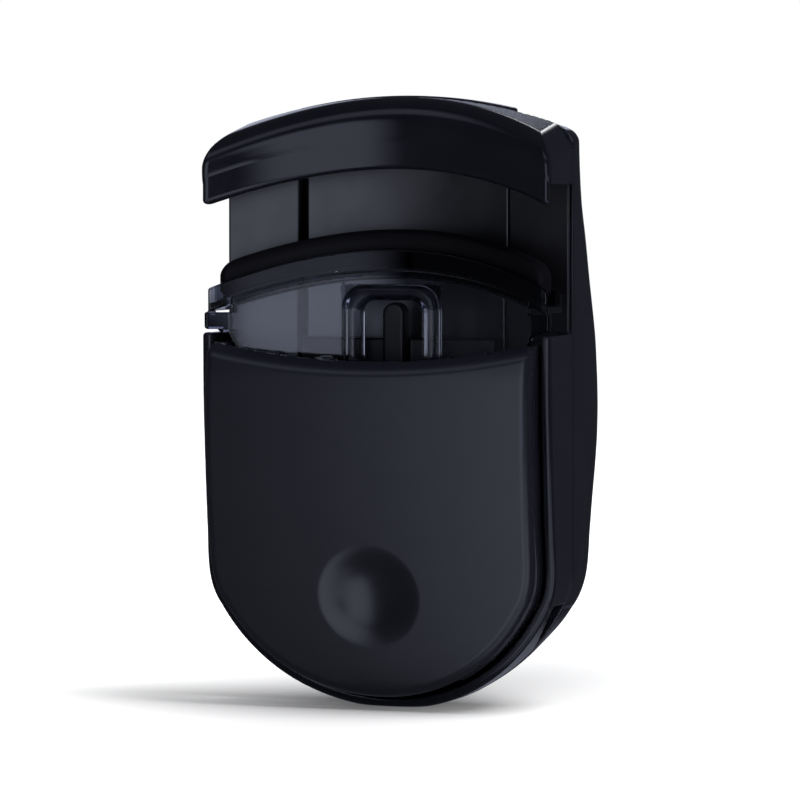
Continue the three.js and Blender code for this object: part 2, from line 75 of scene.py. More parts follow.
# ------------------------------------------------------------- field functions
def table(rows):
    """Smooth curve through (z, value) rows, for arrays."""
    z = np.array([r[0] for r in rows], float); v = np.array([r[1] for r in rows], float)
    h = np.diff(z); d = np.diff(v) / h
    m = np.zeros_like(v); m[0] = d[0]; m[-1] = d[-1]
    for i in range(1, len(v) - 1):
        m[i] = 0 if d[i - 1] * d[i] <= 0 else 2 * d[i - 1] * d[i] / (d[i - 1] + d[i])
    dense = np.linspace(z[0], z[-1], 2400)
    i = np.clip(np.searchsorted(z, dense, side="right") - 1, 0, len(z) - 2)
    t = (dense - z[i]) / h[i]
    val = (2 * t**3 - 3 * t**2 + 1) * v[i] + (t**3 - 2 * t**2 + t) * h[i] * m[i] + (-2 * t**3 + 3 * t**2) * v[i + 1] + (t**3 - t**2) * h[i] * m[i + 1]
    # a light running mean removes the kinks in the second derivative
    k = 61
    pad = np.pad(val, k // 2, mode="reflect", reflect_type="odd")
    val = np.convolve(pad, np.ones(k) / k, mode="valid")
    return lambda q: np.interp(q, dense, val).astype(f32)


rimY = table([(0, 7.2), (0.35, 6.9), (1.2, 6.4), (3, 5.6), (6, 4.8), (10, 4.1), (14.5, 3.5), (20, 2.9), (26, 2.4), (32, 2.07), (40, 2.0)])
backY = table([(0, 11.3), (0.6, 12.1), (2.5, 13.0), (4.4, 13.7), (5.9, 14.2), (8.2, 14.8), (11.5, 15.4), (13.5, 15.95), (16.6, 16.6), (20.6, 17.5),
               (24.6, 18.6), (27.5, 19.15), (30, 19.3), (32, 19.2), (34.7, 18.85), (36.8, 18.5), (38.8, 17.9), (42.8, 16.5), (46.9, 15.2), (50.9, 13.8), (54.9, 13.2), (60, 12.9)])
backCorner = table([(0, 1.6), (3, 4.2), (6.5, 4.2), (8.5, 3.1), (10.5, 2.6), (14, 2.3), (20, 2.1), (60, 2.0)])
leverY = table([(0.9, 5.3), (1.8, 4.65), (3, 4.05), (6, 3.1), (10, 2.2), (14.5, 1.4), (20, 0.6), (26, 0.12), (31, 0.02), (33, 0.12), (35, 0.5), (38, 1.4)])
notchY = table([(5.0, 10.2), (6.4, 8.7), (8.6, 6.5), (10.7, 5.5), (12, 5.2)])
leverGap = table([(0, 0.45), (12, 0.4), (19, 0.2), (24, 0.18), (40, 0.18)])
skirtY = table([(0.9, 6.6), (3, 5.9), (6, 5.1), (10, 4.9), (13, 5.2), (15, 5.6), (20, 5.6), (26, 6.6), (30, 7.0), (38, 7.0)])


def crown(x): return 0.5 * (x / 17.0) ** 2
def lever_y(z): return leverY(z) - PROUD
def jaw_front(x): return 1.5 + 6 * (1 - (x / 18.0) ** 2)
def pad_front(x): return 3.2 + 4.8 * (1 - (x / 17.5) ** 2)
def carrier_front(x): return 2.0 + 5.1 * (1 - (x / 18.2) ** 2)
def roof_z(x): return HEIGHT - 0.45 - 0.0098 * x * x


def rmax(a, b, r):
    """Intersection with a circular edge of radius r."""
    return np.minimum(np.maximum(a, b), -r) + np.hypot(np.maximum(a + r, 0), np.maximum(b + r, 0))


def rmin(a, b, r): return -rmax(-a, -b, r)
def cut(a, b, r): return rmax(a, -b, r)


def body_outline(x, z):
    side = np.abs(x) - W
    arc = np.where(z < ZC_BOTTOM, np.hypot(x, z - ZC_BOTTOM) - R_BOTTOM, np.abs(x) - R_BOTTOM)
    k = 1.1
    h = np.clip(0.5 + 0.5 * (arc - side) / k, 0, 1)
    return side * (1 - h) + arc * h + k * h * (1 - h) * 0.5


def rbox(x, y, z, lo, hi, r):
    cx, cy, cz = [(a + b) / 2 for a, b in zip(lo, hi)]
    hx, hy, hz = [(b - a) / 2 - r for a, b in zip(lo, hi)]
    qx, qy, qz = np.abs(x - cx) - hx, np.abs(y - cy) - hy, np.abs(z - cz) - hz
    out = np.sqrt(np.maximum(qx, 0) ** 2 + np.maximum(qy, 0) ** 2 + np.maximum(qz, 0) ** 2)
    return out + np.minimum(np.maximum(qx, np.maximum(qy, qz)), 0) - r


def cyl(a, b, along, lo, hi, r, edge=0.1):
    return rmax(np.hypot(a, b) - r, np.abs(along - (lo + hi) / 2) - (hi - lo) / 2, edge)


def segment(y, z, a, b, r):
    py, pz = y - a[0], z - a[1]
    dy, dz = b[0] - a[0], b[1] - a[1]
    t = np.clip((py * dy + pz * dz) / (dy * dy + dz * dz), 0, 1)
    return np.hypot(py - dy * t, pz - dz * t) - r


# ----------------------------------------------------------------- field mesher
EDGES = [(0, 1), (2, 3), (4, 5), (6, 7), (0, 2), (1, 3), (4, 6), (5, 7), (0, 4), (1, 5), (2, 6), (3, 7)]


def mesh_field(field, lo, hi, h, steps=4):
    """Closed quads on field = 0 inside the box, drawn onto the surface; returns points, faces."""
    n = [int(math.ceil((b - a) / h)) + 1 for a, b in zip(lo, hi)]
    ax = [(a + h * np.arange(k)).astype(f32) for a, k in zip(lo, n)]
    F = np.empty(n, f32)
    slab = 24
    for i in range(0, n[0], slab):
        X, Y, Z = np.meshgrid(ax[0][i:i + slab], ax[1], ax[2], indexing="ij")
        F[i:i + slab] = field(X, Y, Z)
    S = F < 0
    cnt = np.zeros([k - 1 for k in n], np.int8)
    for dx in (0, 1):
        for dy in (0, 1):
            for dz in (0, 1):
                cnt += S[dx:n[0] - 1 + dx, dy:n[1] - 1 + dy, dz:n[2] - 1 + dz]
    I, J, K = np.nonzero((cnt > 0) & (cnt < 8))
    corner = np.array([(c & 1, (c >> 1) & 1, (c >> 2) & 1) for c in range(8)])
    vals = np.stack([F[I + c[0], J + c[1], K + c[2]] for c in corner], 1)
    acc = np.zeros((len(I), 3)); m = np.zeros(len(I))
    for a, b in EDGES:
        fa, fb = vals[:, a], vals[:, b]
        x = (fa < 0) != (fb < 0)
        t = np.where(x, fa / np.where(x, fa - fb, 1), 0)
        p = corner[a] + t[:, None] * (corner[b] - corner[a])
        acc[x] += p[x]; m[x] += 1
    P = (np.stack([I, J, K], 1) + acc / m[:, None]) * h + np.array(lo)
    index = np.full(cnt.shape, -1, np.int64); index[I, J, K] = np.arange(len(I))
    faces = []
    for axis in range(3):
        u, v = [(1, 2), (2, 0), (0, 1)][axis]
        A = [slice(1, -1)] * 3; A[axis] = slice(0, -1)
        B = [slice(1, -1)] * 3; B[axis] = slice(1, None)
        sa, sb = S[tuple(A)], S[tuple(B)]
        i, j, k = np.nonzero(sa != sb)
        base = np.stack([i, j, k], 1)
        off = np.ones(3, int); off[axis] = 0
        base = base + off
        def at(du, dv):
            q = base.copy(); q[:, u] -= du; q[:, v] -= dv
            return index[q[:, 0], q[:, 1], q[:, 2]]
        quad = np.stack([at(1, 1), at(0, 1), at(0, 0), at(1, 0)], 1)
        out = sa[i, j, k]
        quad[~out] = quad[~out][:, ::-1]
        faces.append(quad)
    faces = np.concatenate(faces)
    P = relax(field, P, faces, h, steps)
    return P, faces


def gradient(field, P, e=0.02):
    x, y, z = (P[:, i].astype(np.float64) for i in range(3))
    g = np.stack([field(x + e, y, z) - field(x - e, y, z), field(x, y + e, z) - field(x, y - e, z), field(x, y, z + e) - field(x, y, z - e)], 1) / (2 * e)
    return g


def project(field, P, cap):
    for _ in range(2):
        g = gradient(field, P)
        f = field(P[:, 0], P[:, 1], P[:, 2])
        step = -(f / np.maximum((g * g).sum(1), 0.05))[:, None] * g
        size = np.linalg.norm(step, axis=1)
        step *= np.minimum(1, cap / np.maximum(size, 1e-9))[:, None]
        P = P + step
    return P


def relax(field, P, faces, h, steps):
    P = project(field, P, 0.5 * h)
    e = np.concatenate([faces[:, [0, 1]], faces[:, [1, 2]], faces[:, [2, 3]], faces[:, [3, 0]]])
    deg = np.bincount(e.ravel(), minlength=len(P)).astype(float)
    for _ in range(steps):
        s = np.stack([np.bincount(e[:, 0], P[e[:, 1], i], len(P)) + np.bincount(e[:, 1], P[e[:, 0], i], len(P)) for i in range(3)], 1)
        d = s / deg[:, None] - P
        g = gradient(field, P); g /= np.maximum(np.linalg.norm(g, axis=1), 1e-6)[:, None]
        d -= (d * g).sum(1)[:, None] * g                    # slide along the surface only
        P = P + 0.5 * d
        P = project(field, P, 0.3 * h)
    return P


def solid(name, field, lo, hi, h, body, nodes, material, keep=0.5, second=None):
    """Mesh a field, thin it where it is flat, and place it on its body.

    second: (material, test) gives the faces whose centre passes the test another finish."""
    P, faces = mesh_field(field, lo, hi, h)
    me = bpy.data.meshes.new(name)
    me.from_pydata(P.tolist(), [], faces.tolist())
    me.update()
    o = bpy.data.objects.new(name, me)
    bpy.context.scene.collection.objects.link(o)
    if keep < 1:
        mod = o.modifiers.new("thin", "DECIMATE"); mod.ratio = keep
        dg = bpy.context.evaluated_depsgraph_get()
        thin = bpy.data.meshes.new_from_object(o.evaluated_get(dg))
        o.modifiers.clear(); o.data = thin; thin.name = name; me = thin
    n = len(me.vertices)
    co = np.empty(n * 3, f32); me.vertices.foreach_get("co", co); co = co.reshape(-1, 3).astype(np.float64)
    co = project(field, co, 0.05)
    g = gradient(field, co, 0.03); g /= np.maximum(np.linalg.norm(g, axis=1), 1e-9)[:, None]
    co[:, 1] += SHIFT_Y
    me.vertices.foreach_set("co", (co * MM).astype(f32).ravel())
    me.polygons.foreach_set("use_smooth", np.ones(len(me.polygons), bool))
    me.update()
    me.normals_split_custom_set_from_vertices([tuple(v) for v in g])
    me.materials.append(material)
    if second:
        me.materials.append(second[0])
        c = np.empty(len(me.polygons) * 3); me.polygons.foreach_get("center", c); c = c.reshape(-1, 3) / MM
        v = np.empty(len(me.polygons) * 3); me.polygons.foreach_get("normal", v); v = v.reshape(-1, 3)
        hit = second[1](c[:, 0], c[:, 1] - SHIFT_Y, c[:, 2], v)
        me.polygons.foreach_set("material_index", hit.astype(np.int32))
    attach(o, body)
    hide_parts(*nodes)
    return o


# -------------------------------------------------------------------- materials
def new_material(name):
    m = bpy.data.materials.new(name); m.use_nodes = True
    nt = m.node_tree
    b = nt.nodes["Principled BSDF"]
    tc = nt.nodes.new("ShaderNodeTexCoord")
    return m, nt, b, tc


def noise(nt, tc, scale, detail=4, rough=0.55):
    n = nt.nodes.new("ShaderNodeTexNoise")
    n.inputs["Scale"].default_value = scale; n.inputs["Detail"].default_value = detail; n.inputs["Roughness"].default_value = rough
    nt.links.new(tc.outputs["Object"], n.inputs["Vector"])
    return n


def ramp(nt, src, a, b, va, vb):
    r = nt.nodes.new("ShaderNodeMapRange")
    r.inputs["From Min"].default_value = a; r.inputs["From Max"].default_value = b
    r.inputs["To Min"].default_value = va; r.inputs["To Max"].default_value = vb
    nt.links.new(src, r.inputs["Value"])
    return r.outputs["Result"]


def bump(nt, b, height, strength, distance):
    k = nt.nodes.new("ShaderNodeBump")
    k.inputs["Strength"].default_value = strength; k.inputs["Distance"].default_value = distance
    nt.links.new(height, k.inputs["Height"])
    nt.links.new(k.outputs["Normal"], b.inputs["Normal"])
    return k


def colour_mix(nt, fac, ca, cb):
    m = nt.nodes.new("ShaderNodeMix"); m.data_type = "RGBA"
    m.inputs["A"].default_value = (*ca, 1); m.inputs["B"].default_value = (*cb, 1)
    nt.links.new(fac, m.inputs["Factor"])
    return m.outputs["Result"]


def gloss_black(name="gloss_black", rough=(0.09, 0.16)):
    m, nt, b, tc = new_material(name)
    b.inputs["IOR"].default_value = 1.5
    big = noise(nt, tc, 220, 3)
    fine = noise(nt, tc, 2600, 2)
    nt.links.new(colour_mix(nt, big.outputs["Fac"], (0.0035, 0.0036, 0.0060), (0.0065, 0.0068, 0.0110)), b.inputs["Base Color"])
    nt.links.new(ramp(nt, big.outputs["Fac"], 0.3, 0.7, *rough), b.inputs["Roughness"])
    bump(nt, b, fine.outputs["Fac"], 0.05, 0.00002)
    return m


def matte_black():
    m, nt, b, tc = new_material("matte_lever")
    b.inputs["IOR"].default_value = 1.48
    b.inputs["Specular IOR Level"].default_value = 0.72
    big = noise(nt, tc, 160, 4)
    grain = noise(nt, tc, 9000, 2, 0.6)
    nt.links.new(colour_mix(nt, big.outputs["Fac"], (0.0045, 0.0048, 0.0085), (0.0075, 0.0080, 0.0130)), b.inputs["Base Color"])
    nt.links.new(ramp(nt, grain.outputs["Fac"], 0.25, 0.75, 0.28, 0.34), b.inputs["Roughness"])
    bump(nt, b, grain.outputs["Fac"], 0.08, 0.00002)
    return m


def satin_black(name="satin_black", level=0.3):
    m, nt, b, tc = new_material(name)
    b.inputs["Specular IOR Level"].default_value = level
    big = noise(nt, tc, 300, 4)
    grain = noise(nt, tc, 7000, 2)
    nt.links.new(colour_mix(nt, big.outputs["Fac"], (0.005, 0.005, 0.007), (0.010, 0.010, 0.013)), b.inputs["Base Color"])
    nt.links.new(ramp(nt, big.outputs["Fac"], 0.3, 0.7, 0.28, 0.38), b.inputs["Roughness"])
    bump(nt, b, grain.outputs["Fac"], 0.08, 0.00002)
    return m


def silicone():
    m, nt, b, tc = new_material("silicone")
    b.inputs["IOR"].default_value = 1.41
    big = noise(nt, tc, 400, 5)
    grain = noise(nt, tc, 12000, 2)
    nt.links.new(colour_mix(nt, big.outputs["Fac"], (0.0022, 0.0022, 0.0032), (0.0045, 0.0045, 0.0060)), b.inputs["Base Color"])
    b.inputs["Specular IOR Level"].default_value = 0.12
    nt.links.new(ramp(nt, big.outputs["Fac"], 0.3, 0.7, 0.42, 0.52), b.inputs["Roughness"])
    bump(nt, b, grain.outputs["Fac"], 0.12, 0.00003)
    return m


def clear_plastic(name="clear_plastic", ior=1.49, ca=(0.84, 0.86, 0.92), cb=(0.90, 0.92, 0.96)):
    m, nt, b, tc = new_material(name)
    b.inputs["Transmission Weight"].default_value = 1.0
    b.inputs["IOR"].default_value = ior
    big = noise(nt, tc, 350, 3)
    nt.links.new(colour_mix(nt, big.outputs["Fac"], ca, cb), b.inputs["Base Color"])
    nt.links.new(ramp(nt, big.outputs["Fac"], 0.3, 0.7, 0.0, 0.02), b.inputs["Roughness"])
    bump(nt, b, big.outputs["Fac"], 0.02, 0.00002)
    return m


def steel():
    m, nt, b, tc = new_material("spring_steel")
    b.inputs["Metallic"].default_value = 1.0
    big = noise(nt, tc, 900, 4)
    fine = noise(nt, tc, 5000, 2)
    nt.links.new(colour_mix(nt, big.outputs["Fac"], (0.50, 0.51, 0.53), (0.66, 0.67, 0.69)), b.inputs["Base Color"])
    nt.links.new(ramp(nt, fine.outputs["Fac"], 0.3, 0.7, 0.20, 0.34), b.inputs["Roughness"])
    bump(nt, b, fine.outputs["Fac"], 0.08, 0.00001)
    return m


GLOSS, MATTE, SATIN, SILICONE, CLEAR, STEEL = gloss_black(), matte_black(), satin_black(), silicone(), clear_plastic(), steel()
GLOSS_JAW = gloss_black("gloss_jaw", (0.12, 0.18))
SATIN_WALL = satin_black("satin_wall", 0.9)
# darker-tinted copy of the clear plastic: painted shade where the carrier would otherwise show bright through
CLEAR_PAINTED_SHADE = clear_plastic("clear_plastic_painted_shade", 1.34, (0.16, 0.17, 0.24), (0.22, 0.23, 0.31))


# ------------------------------------------------------------------ front frame
def hood_roof(x, y): return roof_z(x) + 0.2 - 0.20 * (9.2 - y)
def concave(x): return np.sqrt(1 + (12 * x / 324) ** 2)


def front_frame_field(x, y, z):
    ax = np.abs(x)
    o = body_outline(x, z)
    rear = SEAM_F - 0.8 * np.clip((6.5 - z) / 3.5, 0, 1)
    wall = rmax(rmax(o, (rimY(z) - y) * 0.97, 0.45), -(o + WALL), 0.22)
    wall = rmax(wall, z - LEDGE_Z, 0.35)
    wall = rmax(wall, y - rear, 0.10)
    # slanting rear wall each side of the guide channel
    face = 10.6 - (ax - CHANNEL_X) * (1.5 / 5.2)
    panel = np.maximum(face - y, y - face - 1.1)
    panel = rmax(panel, CHANNEL_X - ax, 0.18)
    edge = np.where((z > LEDGE_Z - 0.3) & (z > 53.3), ax - 17.15, ax - (W - 0.25))
    panel = np.maximum(np.maximum(panel, edge), np.maximum(15.5 - z, z - 55.5))
    panel = np.maximum(panel, np.where(ax > 17.2, y - SEAM_F, y - 12.5))
    shell = rmin(wall, panel, 0.3)
    shell = rmax(shell, np.where(ax > 17.25, y - rear, y - 12.5), 0.10)
    # hinge lugs
    lug = rmax(segment(y, z, (PIVOT_Y, PIVOT_Z), (10.0, PIVOT_Z), 1.3), np.abs(ax - 14.3) - 0.8, 0.15)
    shell = rmin(shell, lug, 0.3)
    # cut-out low in each side wall, behind the rim
    slot = rmax((notchY(z) - y) * 0.75, z - 10.7, 0.25)
    slot = rmax(slot, 9.0 - ax, 0.2)
    shell = cut(shell, slot, 0.10)
    shell = cut(shell, rmax(np.hypot(y - PIVOT_Y, z - PIVOT_Z) - 0.88, ax - 17.0, 0.05), 0.05)
    for sz in (26.5, 17.8):
        shell = cut(shell, np.hypot(ax - 12.6, z - sz) - 0.8, 0.08)
    return rmax(shell, -z, 0.2)


solid("front_frame_shell", front_frame_field, (-18.8, 1.6, -0.3), (18.8, 12.8, 55.9), 0.2, "body", ["front_frame"], GLOSS, 0.45,
      (SATIN_WALL, lambda x, y, z, n: ((z > LEDGE_Z + 0.2) | ((z > 20) & (y > 9.0) & (np.abs(x) < 17.2))) & (n[:, 1] < -0.5)))


# ---------------------------------------------------------------- upper jaw bar
def jaw_bar_field(x, y, z):
    n = concave(x)
    f = (jaw_front(x) + 0.10 - y) / n
    low = 53.8 - 0.0113 * x * x; high = 57.3 - 0.0118 * x * x
    d = rmax(f, (low - z) * 0.96, 0.6)
    d = rmax(d, (y - jaw_front(x) - 1.5) / n, 0.45)
    d = rmax(d, (z - high) * 0.96, 0.07)
    return rmax(d, np.abs(x) - 18.3, 0.8)


solid("upper_jaw", jaw_bar_field, (-18.6, 0.9, 49.3), (18.6, 9.8, 57.2), 0.16, "body", ["upper_jaw_bar"], GLOSS_JAW, 0.5)


# ------------------------------------------------------------------- back cover
def cover_outer(x, y, z, off):
    o = body_outline(x, z) + off
    b = (y - backY(z) - 0.25 * (1 - (x / 16.0) ** 2).clip(0) + 0.25 + off) * 0.95
    r = backCorner(z)
    return rmax(o, b, r)


def back_cover_field(x, y, z):
    ax = np.abs(x)
    lip = rmax(ax - 11.5, 10.9 - y, 0.4)
    top = z - (roof_z(x) + 0.0)
    raised = rmax(z - (HEIGHT - 0.0098 * x * x), lip, 0.25)
    shape = cover_outer(x, y, z, 0.0)
    d = rmax(shape, top, 1.0)
    d = rmin(d, rmax(raised, shape + 0.15, 0.3), 0.2)
    inner = rmax(cover_outer(x, y, z, 1.0 - 0.6 * np.clip((z - 44) / 5, 0, 1)), z - roof_z(x) + 1.3, 0.6)
    d = cut(d, inner, 0.1)
    d = rmax(d, SEAM_B - y, 0.10)
    # shelf for the springs, rod sockets, screw bosses
    shape = cover_outer(x, y, z, 0.4)
    shelf = rmax(rbox(x, y, z, (-10.4, 11.3, 34.0), (10.4, 22, 35.6), 0.2), shape, 0.1)
    sock = rmax(rbox(ax, y, z, (ROD_X - 1.8, 11.5, 13.4), (ROD_X + 1.8, 20, 15.2), 0.2), shape, 0.1)
    d = rmin(rmin(d, shelf, 0.4), sock, 0.4)
    for sz in (26.5, 17.8):
        d = rmin(d, rmax(rmax(np.hypot(ax - 12.6, z - sz) - 1.5, 11.95 - y, 0.15), shape, 0.1), 0.4)
        d = cut(d, rmax(np.hypot(ax - 12.6, z - sz) - 0.8, y - 14.6, 0.1), 0.08)
    # hood over the jaws and its side arms
    n = concave(x)
    sink = 0.25 * np.clip((57.48 - 0.0118 * x * x - z) / 1.3, 0, 1) ** 2
    front = (jaw_front(x) + sink - y) / n
    roof = (z - hood_roof(x, y)) * 0.97
    hood = rmax(rmax(ax - W, front, 0.9), roof, 2.3)
    inside = rmax(rmax(rmax(front + 1.6, ax - (W - WALL), 0.6), roof + 1.3, 0.5), 30 - z, 0.1)
    hood = cut(hood, inside, 0.1)
    low = (56.18 - 0.0118 * x * x - z) * 0.96
    sill = rmax(WINDOW_TOP - z, jaw_front(x) + 1.8 - y, 0.05)
    arm = rmax(rmax(ax - W, (jaw_front(x) - y) / n, 0.9), np.maximum(roof, -(ax - (W - WALL))), 0.3)
    window = rmax(rmax(y - SEAM_B + 0.02, z - WINDOW_TOP, 1.3), 30 - z, 0.1)
    arm = cut(arm, window, 0.2)
    arm = rmax(arm, jaw_front(x) + 1.8 - y, 0.1)
    hood = rmax(hood, low, 0.07)
    arm = rmax(rmax(arm, roof, 2.3), 52.5 - z, 0.1)
    hood = np.minimum(hood, arm)
    hood = np.maximum(hood, y - 9.7)
    d = rmin(d, hood, 0.12)
    # curved inner wall behind the jaws, between the slanting walls
    wall_y = 12.97 - 0.0117 * x * x
    inner_wall = np.maximum(wall_y - y, y - wall_y - 0.9)
    inner_wall = rmax(inner_wall, ax - 10.8, 0.15)
    inner_wall = rmax(inner_wall, np.maximum(35.5 - z, z - 59.0), 0.15)
    d = rmin(d, np.maximum(inner_wall, shape), 0.15)
    hole = np.maximum(np.hypot(ax - ROD_X, y - ROD_Y) - 0.85, np.minimum(np.abs(z - 34.8) - 2, np.abs(z - 15.0) - 1.1))
    d = cut(d, hole, 0.06)
    return rmax(d, -z, 0.2)


solid("back_shell", back_cover_field, (-18.8, 0.9, -0.3), (18.8, 19.8, 61.6), 0.21, "body", ["back_cover"], GLOSS, 0.45,
      (SATIN_WALL, lambda x, y, z, n: (np.abs(x) < 10.9) & (y > 11.0) & (y < 14.0) & (z > 35.8) & (z < 58.8) & (n[:, 1] < -0.5)))


# ------------------------------------------------------------------------ lever
DIMPLE_R, DIMPLE_DEPTH, DIMPLE_Z, TILT = 7.0, 1.38, 11.75, 0.21
_far = DIMPLE_R - DIMPLE_DEPTH
DIMPLE_C = (0.0, 2.07 - PROUD - _far * math.cos(TILT), DIMPLE_Z - _far * math.sin(TILT))


def lever_face_field(x, y, z):
    yf = lever_y(z) + crown(x)
    a = (yf - y) * 0.97
    side = body_outline(x, z) + WALL + leverGap(z)
    top = (z - (35.05 + 0.0064 * x * x)) * 0.99
    bevel = 0.766 * (z - (33.9 + 0.0064 * x * x)) - 0.643 * (y - yf)
    d = rmax(rmax(a, bevel, 0.5), top, 0.3)
    d = rmax(d, side, 0.95)
    ball = np.sqrt((x - DIMPLE_C[0]) ** 2 + (y - DIMPLE_C[1]) ** 2 + (z - DIMPLE_C[2]) ** 2) - DIMPLE_R
    d = cut(d, ball, 0.7)
    thick = np.minimum(y - yf - 1.3, ball - 1.1)
    return rmax(d, thick, 0.15)


solid("lever_cover", lever_face_field, (-17.6, -1.9, 0.8), (17.6, 5.6, 37.6), 0.2, "lever", ["lever_face"], MATTE, 0.6)


def lever_frame_field(x, y, z):
    ax = np.abs(x)
    yf = lever_y(z) + crown(x)
    side = body_outline(x, z) + WALL + 0.25
    top = z - (34.75 + 0.0064 * x * x)
    d = rmax(rmax(side, (yf + 1.6 - y) * 0.97, 0.3), top, 0.2)
    d = rmax(d, y - np.maximum(skirtY(z) - 0.9 * np.clip((7.0 - z) / 2.5, 0, 1), yf + 2.1), 0.2)
    pocket = np.maximum(side + 1.0, (yf + 2.6 - y))
    d = cut(d, pocket, 0.15)
    ear = rmax(np.hypot(y - PIVOT_Y, z - PIVOT_Z) - 1.9, np.maximum(ax - (W - WALL - 0.27), 16.1 - ax), 0.1)
    d = rmin(d, ear, 0.2)
    d = cut(d, rmax(np.hypot(x, z - DIMPLE_Z) - 6.3, y - 12, 0.1), 0.1)
    d = rmax(d, 3.2 - z, 0.15)
    rib = np.minimum(segment(y, z, (1.6, 18.5), (4.4, 17.8), 0.95), segment(y, z, (4.0, 17.9), (6.6, 14.0), 0.85))
    rib = np.minimum(rib, segment(y, z, (6.5, 14.2), (6.8, 13.0), 1.08))
    rib = np.minimum(rib, segment(y, z, (6.8, 13.0), (6.8, 13.01), 1.1))
    rib = rmax(rib, np.abs(ax - 3.6) - 0.9, 0.12)
    rib = rmax(rib, yf + 1.7 - y, 0.05)
    d = rmin(d, rib, 0.2)
    return cut(d, rmax(np.hypot(y - PIVOT_Y, z - PIVOT_Z) - 0.88, 13 - ax, 0.05), 0.05)


solid("lever_tray", lever_frame_field, (-17.5, -0.3, 0.9), (17.5, 8.3, 37.2), 0.22, "lever", ["lever_frame"], GLOSS, 0.5)


# ---------------------------------------------------------------------- carrier
def slider_field(x, y, z):
    ax = np.abs(x)
    d = rbox(x, y, z, (-10.6, 9.2, 17.5), (10.6, 10.5, 36.9), 0.3)
    d = rmin(d, rbox(x, y, z, (-10.2, 9.2, 17.5), (10.2, 15.2, 19.3), 0.3), 0.4)
    # cam ramps
    p, q = (7.38, 14.33), (11.42, 8.13)
    ny, nz = 0.838, 0.545
    ramp_side = -((y - 7.82) * ny + (z - 13.66) * nz)
    w = rmax(ramp_side, np.maximum(y - 12.4, 8.1 - z), 0.15)
    w = rmax(w, (z - 15.6) * 0.75 - (y - 7.38) * 0.65, 0.2)
    w = rmax(w, z - 20.0, 0.1)
    w = rmax(w, np.where(y > 10.4, z - 19.2, -5), 0.1)
    w = rmax(w, np.abs(ax - 3.6) - 1.2, 0.15)
    d = rmin(d, w, 0.3)
    stem = rmax(np.maximum(np.hypot(x, np.maximum(z - 39.35, 0)) - 1.15, np.abs(y - 8.45) - 0.95), 33 - z, 0.2)
    stem = rmax(np.hypot(x, np.maximum(z - 39.35, 0)) - 1.15, np.abs(y - 8.45) - 0.95, 0.35)
    stem = rmax(stem, 33 - z, 0.2)
    d = rmin(d, stem, 0.3)
    return cut(d, np.maximum(np.hypot(ax - ROD_X, y - ROD_Y) - 0.85, np.abs(z - 18.4) - 3), 0.06)


solid("slider", slider_field, (-10.9, 6.8, 7.8), (10.9, 15.6, 40.9), 0.2, "carrier", ["lift_slider"], SATIN, 0.4)


def trough_low(x): return 43.1 - 0.0112 * x * x


def carrier_field(x, y, z):
    ax = np.abs(x)
    cf = carrier_front(x)
    n = np.sqrt(1 + (2 * 5.1 * x / 18.2 ** 2) ** 2)
    lo = trough_low(x)
    lip = 45.8 - 0.0122 * x * x
    pf = pad_front(x)
    web = np.maximum((cf - y) / n, (y - cf - 1.2) / n)
    step = np.clip((ax - 14.4) / 1.6, 0, 1)
    foot = np.where(ax > 16.9, LEDGE_Z + 0.3, 34.3 * (1 - step) + (35.75 + 0.0064 * x * x) * step)
    web = rmax(web, foot - z, 0.15)
    web = rmax(web, z - lo - 0.5, 0.1)
    web = rmax(web, ax - 18.2, 0.35)
    web = rmax(web, np.minimum(ax - 15.6, z - 39.5), 0.12)
    arch = rmax(ax - 3.4, z - 40.8, 1.5)
    web = cut(web, arch, 0.15)
    tray = rmax((cf + 0.1 - y) / n, (y - pf - 3.2 - 1.1) / n, 0.2)
    tray = rmax(rmax(tray, (lo - z), 0.25), ax - 17.9, 0.3)
    tray = rmax(tray, np.where(y < pf + 1.5, z - lip, z - lip + 0.4), 0.2)
    pocket = np.maximum(np.maximum((pf - 0.3 - y) / n, (y - pf - 3.5) / n), lo + 0.8 - z)
    tray = cut(tray, pocket, 0.1)
    d = rmin(web, tray, 0.3)
    jamb = rmax(rmax(ax - 5.0, z - 42.1, 2.2), -rmax(ax - 3.4, z - 40.8, 1.5), 0.35)
    jamb = rmax(jamb, np.abs(y - 7.65) - 1.4, 0.6)
    jamb = rmax(jamb, 34.3 - z, 0.1)
    d = rmin(d, jamb, 0.25)
    clip = rbox(ax, y, z, (6.2, 7.3, 33.0), (9.4, 8.6, 35.0), 0.25)
    clip = rmin(clip, rbox(ax, y, z, (6.2, 6.3, 34.3), (9.4, 8.6, 34.9), 0.2), 0.2)
    return rmin(d, clip, 0.2)


# painted shade: the tray band above the trough, the end faces below the flange and the jamb ring take the darker-tinted
# clear plastic
solid("clear_carrier", carrier_field, (-18.5, 1.5, 32.7), (18.5, 12.7, 46.2), 0.16, "carrier", ["pad_carrier"], CLEAR, 0.5,
      (CLEAR_PAINTED_SHADE, lambda x, y, z, n: ((z > trough_low(x) + 0.1) & (np.abs(x) < 17.2)) | ((np.abs(x) > 16.0) & (z < 39.45)) | ((np.abs(x) < 5.2) & (z > 39.9) & (z < 42.3) & (y < 9.2) & (y > 5.9))))


def pad_field(x, y, z):
    n = np.sqrt(1 + (2 * 4.8 * x / 17.5 ** 2) ** 2)
    pf = pad_front(x)
    hi = 47.8 - 0.0117 * x * x
    d = rmax((pf - y) / n, (y - pf - 3.2) / n, 0.1)
    d = rmax(d, (z - hi) * 0.97, 1.15)
    d = rmax(d, trough_low(x) + 1.1 - z, 0.3)
    return rmax(d, np.abs(x) - 17.4, 1.4)


pad = solid("silicone_pad", pad_field, (-17.7, 2.8, 40.4), (17.7, 11.6, 48.1), 0.16, "carrier", ["lash_pad"], SILICONE, 0.5)


